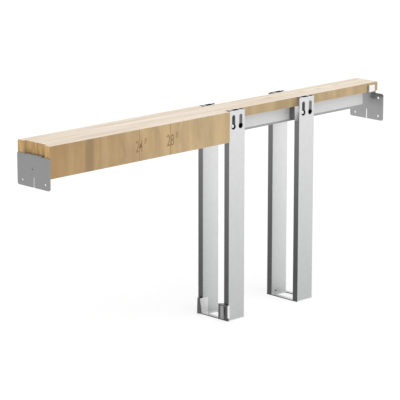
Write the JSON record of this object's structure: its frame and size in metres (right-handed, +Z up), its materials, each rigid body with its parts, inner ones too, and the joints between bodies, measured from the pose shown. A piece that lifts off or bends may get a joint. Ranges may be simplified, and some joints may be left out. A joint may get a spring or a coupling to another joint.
{
  "type": "pocket door frame",
  "caption": "Timber header with a sliding-door track, carried by paired steel uprights that leave a pocket between them, with a steel nailing bracket at each end.",
  "frame": {"origin": "on the floor below the middle of the header, at the bounding box's bottom centre", "axes": "+X along the header from the opening's end to the pocket's end, +Y across the wall towards the back, +Z up"},
  "size_m": [0.9024, 0.089, 0.418],
  "materials": {
    "timber": "planed pale softwood, unfinished",
    "galvanised": "bright galvanised sheet, satin",
    "extrusion": "mill-finish extrusion, satin"
  },
  "bodies": {
    "root": {"header_board": "timber", "board_packer": "timber", "nailer_front": "timber", "nailer_back": "timber", "track": "extrusion", "upright_1_front": "galvanised", "upright_1_back": "galvanised", "upright_2_front": "galvanised", "upright_2_back": "galvanised", "top_bracket_1_front": "galvanised", "top_bracket_1_back": "galvanised", "top_bracket_2_front": "galvanised", "top_bracket_2_back": "galvanised", "floor_plate_1": "galvanised", "floor_plate_2": "galvanised", "door_guide_front": "galvanised", "door_guide_back": "galvanised", "end_bracket_left": "galvanised", "end_bracket_right": "galvanised"}
  },
  "joints": []
}
